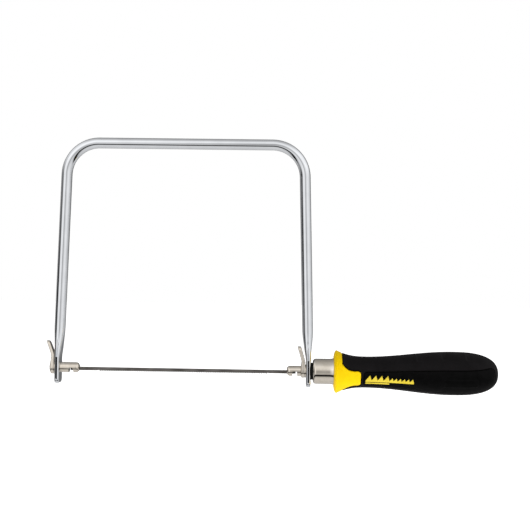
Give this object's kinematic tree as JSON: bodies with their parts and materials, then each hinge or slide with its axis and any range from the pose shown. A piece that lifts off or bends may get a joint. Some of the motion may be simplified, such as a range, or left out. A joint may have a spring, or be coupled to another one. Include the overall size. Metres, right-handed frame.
{
  "type": "coping saw",
  "caption": "Coping saw: a bent rod frame, a pin-ended blade held by two turning spigots with levers, and a screwed soft-grip handle that sets the blade's tension.",
  "frame": {"origin": "middle of the handle moulding, on the axis that the handle, spigots and blade share", "axes": "+X along the working axis from the blade towards the handle's butt, +Z from the blade towards the frame's top bar, +Y through the frame's thickness"},
  "size_m": [0.3298, 0.0316, 0.1848],
  "materials": {
    "chrome_rod": "bright chrome plate",
    "nickel": "bright nickel plate",
    "blade_steel": "dark tempered spring steel",
    "pin_steel": "ground steel",
    "washer_black": "black moulded nylon",
    "insert_brass": "turned brass",
    "core_yellow": "moulded yellow polypropylene, satin",
    "sleeve_black": "smooth black soft-touch rubber",
    "pad_black": "black soft-touch rubber with a fine moulded texture",
    "mark_yellow": "yellow moulded plastic"
  },
  "bodies": {
    "frame": {"frame_bow": "chrome_rod"},
    "front_holder": {"front_spigot": "nickel", "front_lever": "nickel", "front_washer": "nickel"},
    "rear_holder": {"rear_spigot": "nickel", "rear_lever": "nickel", "rear_washer": "nickel"},
    "saw_blade": {"blade": "blade_steel", "blade_pin_front": "pin_steel", "blade_pin_rear": "pin_steel"},
    "thrust_ring": {"thrust_washer": "washer_black"},
    "handle": {"ferrule": "nickel", "threaded_insert": "insert_brass", "handle_core": "core_yellow", "grip_sleeve": "sleeve_black", "side_pad_left": "pad_black", "side_pad_right": "pad_black", "side_mark_left": "mark_yellow", "side_mark_right": "mark_yellow"}
  },
  "joints": [
    {"name": "front_turn", "type": "hinge", "parent": "frame", "child": "front_holder", "pos_m": [-0.2614, 0, 0], "axis": [1, 0, 0], "continuous": true},
    {"name": "rear_turn", "type": "hinge", "parent": "frame", "child": "rear_holder", "pos_m": [-0.0779, 0, 0], "axis": [1, 0, 0], "continuous": true},
    {"name": "blade_release", "type": "slide", "parent": "front_holder", "child": "saw_blade", "axis": [0, 0, -1], "range_m": [0, 0.012]},
    {"name": "handle_travel", "type": "slide", "parent": "frame", "child": "thrust_ring", "axis": [1, 0, 0], "range_m": [0, 0.006]},
    {"name": "handle_turn", "type": "hinge", "parent": "thrust_ring", "child": "handle", "pos_m": [0, 0, 0], "axis": [1, 0, 0], "range_deg": [0, 2160]}
  ],
  "couplings": [
    {"joint": "rear_turn", "follows": "front_turn", "ratio": 1},
    {"joint": "handle_travel", "follows": "handle_turn", "m_per_rad": 0.00015915}
  ]
}
